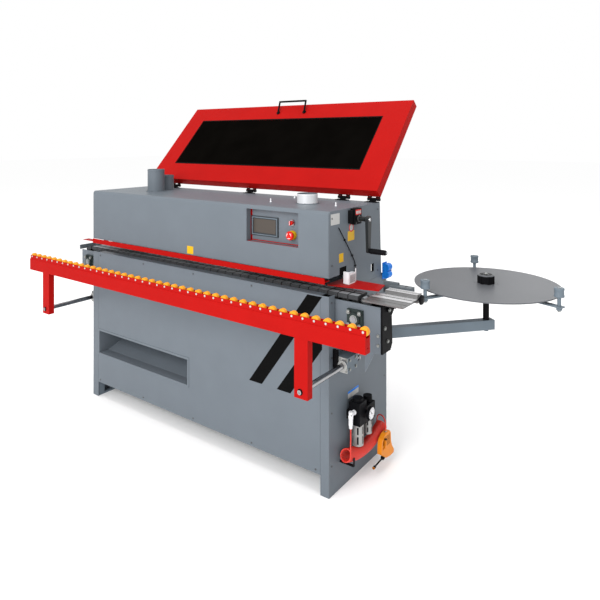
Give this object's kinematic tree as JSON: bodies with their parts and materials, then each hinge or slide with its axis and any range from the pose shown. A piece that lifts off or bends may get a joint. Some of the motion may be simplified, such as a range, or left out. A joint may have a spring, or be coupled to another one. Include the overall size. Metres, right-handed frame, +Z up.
{
  "type": "edge banding machine",
  "caption": "Edge banding machine with chain conveyor, raised rear lid, sliding roller support, tape reel, control recess and spiral air hose",
  "frame": {"origin": "centre of the overall box, on the floor", "axes": "+X along the conveyor towards the tape reel, +Y from the operator's side to the back, +Z up"},
  "size_m": [2.7602, 1.2669, 1.7978],
  "materials": {
    "blue_grey_paint": "textured satin",
    "dark_grey_paint": "textured satin",
    "frame_paint": "satin",
    "red_paint": "semi-gloss",
    "black_paint": "satin",
    "machined_steel": "brushed",
    "bright_aluminium": "machined",
    "bearing_iron": "painted casting",
    "pad_rubber": "matt",
    "orange_plastic": "moulded",
    "black_plastic": "fine grain",
    "red_plastic": "gloss",
    "red_hose": "gloss",
    "white_plastic": "moulded",
    "blue_plastic": "moulded",
    "dark_window": "tinted sheet",
    "screen_glass": "smooth",
    "buff_cloth": "stitched cotton"
  },
  "bodies": {
    "machine": {"welded_frame": "frame_paint", "left_side_panel": "blue_grey_paint", "right_side_panel": "blue_grey_paint", "front_panel": "blue_grey_paint", "storage_tray": "blue_grey_paint", "rear_panel": "blue_grey_paint", "conveyor_beam": "blue_grey_paint", "chain_pads": "pad_rubber", "flange_bearings": "bearing_iron", "end_bracket": "black_paint", "infeed_table": "bright_aluminium", "outfeed_plate": "dark_grey_paint", "guard_strips": "red_paint", "hood_cover": "blue_grey_paint", "hood_ends": "blue_grey_paint", "control_recess": "red_paint", "touch_panel": "screen_glass", "dust_ports": "blue_grey_paint", "position_indicator": "black_paint", "hinge_brackets": "black_paint", "support_bushes": "frame_paint", "air_unit": "black_plastic", "hose_ends": "red_hose", "hose_coil": "red_hose", "blow_gun": "orange_plastic", "reel_bracket": "black_paint", "power_inlet": "blue_plastic", "sensor_cable": "black_plastic", "tape_guide": "white_plastic", "glue_pot": "machined_steel", "unit_motors": "frame_paint", "drive_motor": "frame_paint", "electrical_box": "dark_grey_paint"},
    "rear_lid": {"lid_frame": "red_paint", "lid_window": "dark_window", "lid_handle": "black_paint"},
    "crank": {"height_crank": "black_paint"},
    "grip": {"crank_grip": "black_plastic"},
    "roller_support": {"support_beam": "red_paint", "support_rollers": "orange_plastic", "support_rods": "machined_steel"},
    "swing_arm": {"reel_arm": "frame_paint", "guide_rollers": "frame_paint"},
    "reel": {"reel_disc": "dark_grey_paint"},
    "drive_wheel": {"drive_sprocket": "machined_steel"},
    "idler_wheel": {"idler_sprocket": "machined_steel"},
    "stop_button": {"estop_button": "red_plastic"},
    "selector": {"selector_knob": "red_plastic"},
    "trigger": {"gun_trigger": "machined_steel"},
    "pressure_unit": {"pressure_beam": "machined_steel"},
    "glue_spindle": {"glue_roller": "bright_aluminium"},
    "press_spindle": {"press_roller": "pad_rubber"},
    "end_cutter": {"guillotine_blade": "bright_aluminium"},
    "top_trimmer": {"trim_cutter_top": "bright_aluminium"},
    "bottom_trimmer": {"trim_cutter_bottom": "bright_aluminium"},
    "top_buffer": {"buff_wheel_top": "buff_cloth"},
    "bottom_buffer": {"buff_wheel_bottom": "buff_cloth"},
    "fence": {"infeed_fence": "dark_grey_paint"},
    "clamp_knob": {"fence_knob": "black_plastic"},
    "regulator": {"regulator_knob": "black_plastic"}
  },
  "joints": [
    {"name": "lid_hinge", "type": "hinge", "parent": "machine", "child": "rear_lid", "pos_m": [-0.31208, 0.11984, 1.25], "axis": [1, 0, 0], "range_deg": [-124.8, 0]},
    {"name": "crank_turn", "type": "hinge", "parent": "machine", "child": "crank", "pos_m": [0.60892, -0.13116, 1.186], "axis": [1, 0, 0], "range_deg": [-500, 2520]},
    {"name": "grip_spin", "type": "hinge", "parent": "crank", "child": "grip", "pos_m": [0.66492, -0.13116, 1.044], "axis": [1, 0, 0], "continuous": true},
    {"name": "pressure_slide", "type": "slide", "parent": "machine", "child": "pressure_unit", "axis": [0, 0, 1], "range_m": [-0.008, 0.04]},
    {"name": "support_slide", "type": "slide", "parent": "machine", "child": "roller_support", "axis": [0, 1, 0], "range_m": [-0.02, 0.235]},
    {"name": "arm_swing", "type": "hinge", "parent": "machine", "child": "swing_arm", "pos_m": [0.63375, -0.15065, 0.677], "axis": [0, 0, 1], "range_deg": [-18, 12]},
    {"name": "reel_spin", "type": "hinge", "parent": "swing_arm", "child": "reel", "pos_m": [1.01492, 0.28784, 0.87], "axis": [0, 0, 1], "continuous": true},
    {"name": "drive_spin", "type": "hinge", "parent": "machine", "child": "drive_wheel", "pos_m": [-1.27208, -0.24416, 0.78608], "axis": [0, 1, 0], "continuous": true},
    {"name": "idler_spin", "type": "hinge", "parent": "machine", "child": "idler_wheel", "pos_m": [0.64692, -0.24416, 0.78608], "axis": [0, 1, 0], "continuous": true},
    {"name": "stop_press", "type": "slide", "parent": "machine", "child": "stop_button", "axis": [0, 1, 0], "range_m": [0, 0.004]},
    {"name": "selector_turn", "type": "hinge", "parent": "machine", "child": "selector", "pos_m": [0.31892, -0.31616, 1.167], "axis": [0, 1, 0], "range_deg": [-45, 45]},
    {"name": "trigger_pull", "type": "hinge", "parent": "machine", "child": "trigger", "pos_m": [0.62792, -0.02416, 0.108], "axis": [1, 0, 0], "range_deg": [-18, 0], "stiffness_Nm_per_rad": 0.6, "springref_deg": 5.73},
    {"name": "glue_spin", "type": "hinge", "parent": "machine", "child": "glue_spindle", "pos_m": [0.17792, -0.14716, 0.912], "axis": [0, 0, 1], "continuous": true},
    {"name": "press_spin", "type": "hinge", "parent": "machine", "child": "press_spindle", "pos_m": [0.03292, -0.12316, 0.903], "axis": [0, 0, 1], "continuous": true},
    {"name": "end_cut", "type": "slide", "parent": "machine", "child": "end_cutter", "axis": [0, 1, 0], "range_m": [-0.045, 0]},
    {"name": "trim_top_spin", "type": "hinge", "parent": "machine", "child": "top_trimmer", "pos_m": [-0.52708, -0.18116, 0.931], "axis": [0, 1, 0], "continuous": true},
    {"name": "trim_bottom_spin", "type": "hinge", "parent": "machine", "child": "bottom_trimmer", "pos_m": [-0.62708, -0.18116, 0.843], "axis": [0, 1, 0], "continuous": true},
    {"name": "buff_top_spin", "type": "hinge", "parent": "machine", "child": "top_buffer", "pos_m": [-0.89708, -0.17816, 0.942], "axis": [0, 1, 0], "continuous": true},
    {"name": "buff_bottom_spin", "type": "hinge", "parent": "machine", "child": "bottom_buffer", "pos_m": [-1.01708, -0.17816, 0.828], "axis": [0, 1, 0], "continuous": true},
    {"name": "fence_slide", "type": "slide", "parent": "machine", "child": "fence", "axis": [0, 1, 0], "range_m": [-0.012, 0.01]},
    {"name": "clamp_turn", "type": "hinge", "parent": "machine", "child": "clamp_knob", "pos_m": [0.89092, -0.17016, 0.876], "axis": [1, 0, 0], "range_deg": [-180, 180]},
    {"name": "regulator_turn", "type": "hinge", "parent": "machine", "child": "regulator", "pos_m": [0.58492, -0.08216, 0.35], "axis": [0, 0, 1], "range_deg": [-150, 150]}
  ],
  "couplings": [
    {"joint": "idler_spin", "follows": "drive_spin", "ratio": 1},
    {"joint": "pressure_slide", "follows": "crank_turn", "m_per_rad": 0.00090946}
  ]
}
